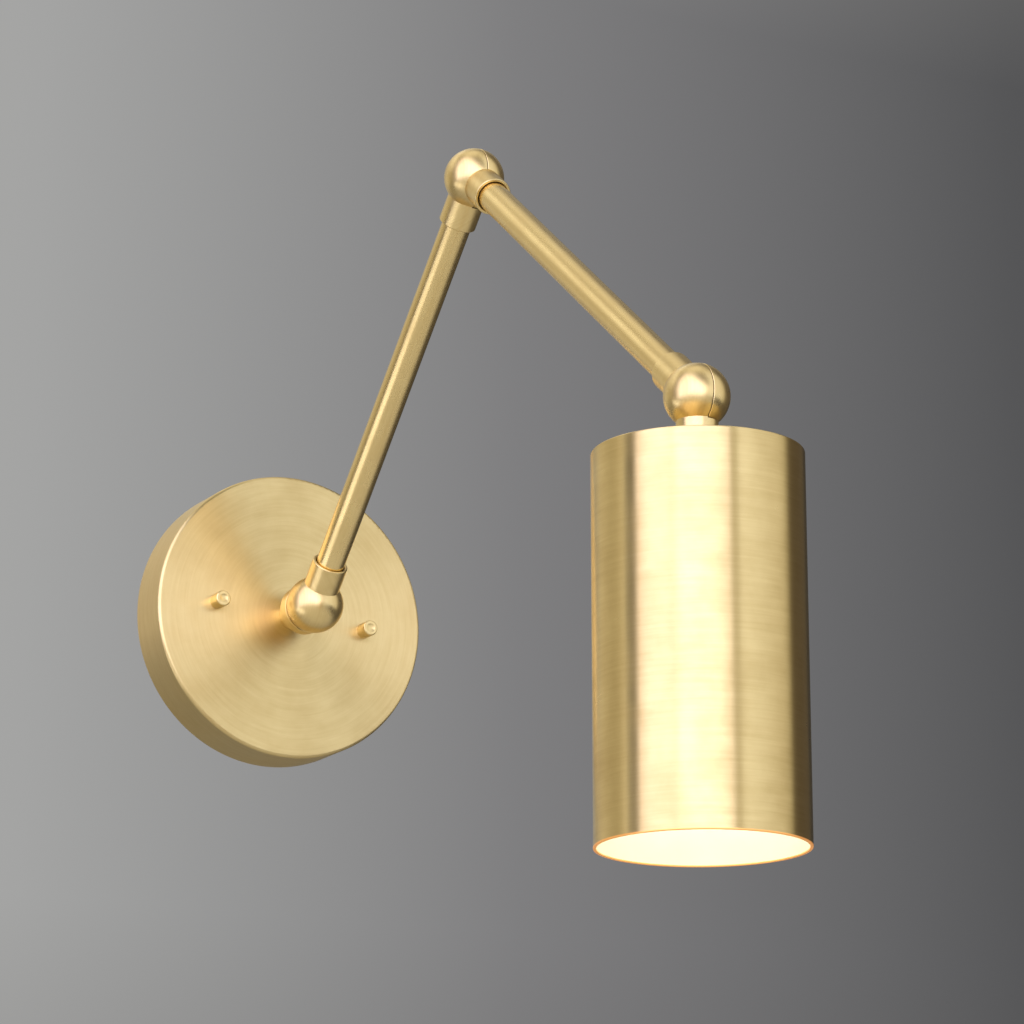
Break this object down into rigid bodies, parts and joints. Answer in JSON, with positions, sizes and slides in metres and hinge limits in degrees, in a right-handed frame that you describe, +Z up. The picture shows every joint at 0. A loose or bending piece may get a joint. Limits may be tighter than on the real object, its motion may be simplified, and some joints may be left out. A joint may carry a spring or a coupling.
{
  "type": "articulating wall lamp",
  "caption": "Brass wall lamp with a round canopy, tube arms on ball swivels and a cylinder shade that opens downwards.",
  "frame": {"origin": "centre of the canopy's back and of the crossbar's slot pattern, on the wall", "axes": "+Z up, -Y out of the wall, +X to the right as seen facing the wall"},
  "size_m": [0.13, 0.4218, 0.3278],
  "materials": {
    "canopy_brass": "circular brushed satin",
    "swivel_brass": "satin",
    "tube_brass": "satin, brushed along the tube",
    "shade_brass": "satin, brushed round the shade, pale inside",
    "nut_brass": "turned satin",
    "zinc_steel": "zinc plated",
    "green_steel": "green plated",
    "green_insulation": "satin",
    "black_insulation": "satin",
    "white_insulation": "satin",
    "connector_plastic": "ribbed matt",
    "friction_washer": "matt fibre",
    "socket_ceramic": "glazed",
    "contact_metal": "plated",
    "bulb_insulator": "black glass",
    "bulb_glass": "opal, lit"
  },
  "bodies": {
    "canopy": {"canopy": "canopy_brass", "box_bar": "zinc_steel", "stud_bar": "zinc_steel", "bar_eyelet": "zinc_steel", "canopy_studs": "zinc_steel", "stud_nuts": "zinc_steel", "cap_nuts": "nut_brass", "earth_screw": "green_steel", "earth_lead": "green_insulation", "hot_lead": "black_insulation", "neutral_lead": "white_insulation", "wire_connectors": "connector_plastic"},
    "wall_swivel": {"wall_swivel_base": "swivel_brass", "wall_ball_follower": "nut_brass", "wall_ball_spring": "zinc_steel", "wall_ball_nut": "nut_brass", "wall_nipple": "zinc_steel", "wall_spring_washer": "zinc_steel", "wall_nipple_nut": "nut_brass"},
    "lower_arm": {"wall_swivel_ball": "swivel_brass", "lower_tube": "tube_brass", "lower_tube_nipple_wall": "zinc_steel", "lower_tube_nipple_elbow": "zinc_steel", "lower_arm_leads": "black_insulation", "elbow_swivel_cup": "swivel_brass", "elbow_pivot_screw": "nut_brass", "elbow_pivot_spring": "zinc_steel", "elbow_friction_washer": "friction_washer"},
    "upper_arm": {"elbow_swivel_base": "swivel_brass", "upper_tube": "tube_brass", "upper_tube_nipple_elbow": "zinc_steel", "upper_tube_nipple_head": "zinc_steel", "upper_arm_leads": "black_insulation", "head_swivel_base": "swivel_brass"},
    "head": {"head_swivel_cup": "swivel_brass", "head_pivot_screw": "nut_brass", "head_pivot_spring": "zinc_steel", "head_friction_washer": "friction_washer", "shade": "shade_brass", "shade_nipple": "zinc_steel", "shade_lock_washer": "zinc_steel", "shade_nut": "nut_brass", "socket_bracket": "zinc_steel", "socket_screws": "zinc_steel", "socket_body": "socket_ceramic", "socket_shell": "contact_metal", "socket_contact": "contact_metal", "socket_leads": "black_insulation", "bulb_tip": "contact_metal", "bulb_insulator": "bulb_insulator", "bulb_base": "contact_metal", "bulb_glass": "bulb_glass"}
  },
  "joints": [
    {"name": "wall_turn", "type": "hinge", "parent": "canopy", "child": "wall_swivel", "pos_m": [0, -0.0491, 0], "axis": [0, 1, 0], "range_deg": [-170, 170]},
    {"name": "wall_tilt", "type": "hinge", "parent": "wall_swivel", "child": "lower_arm", "pos_m": [0, -0.0491, 0], "axis": [1, 0, 0], "range_deg": [-35, 45]},
    {"name": "elbow_tilt", "type": "hinge", "parent": "lower_arm", "child": "upper_arm", "pos_m": [0, -0.20183, 0.15274], "axis": [1, 0, 0], "range_deg": [-173.65, 6.35]},
    {"name": "head_tilt", "type": "hinge", "parent": "upper_arm", "child": "head", "pos_m": [0, -0.38185, 0.00877], "axis": [1, 0, 0], "range_deg": [-141.35, 38.65]}
  ]
}
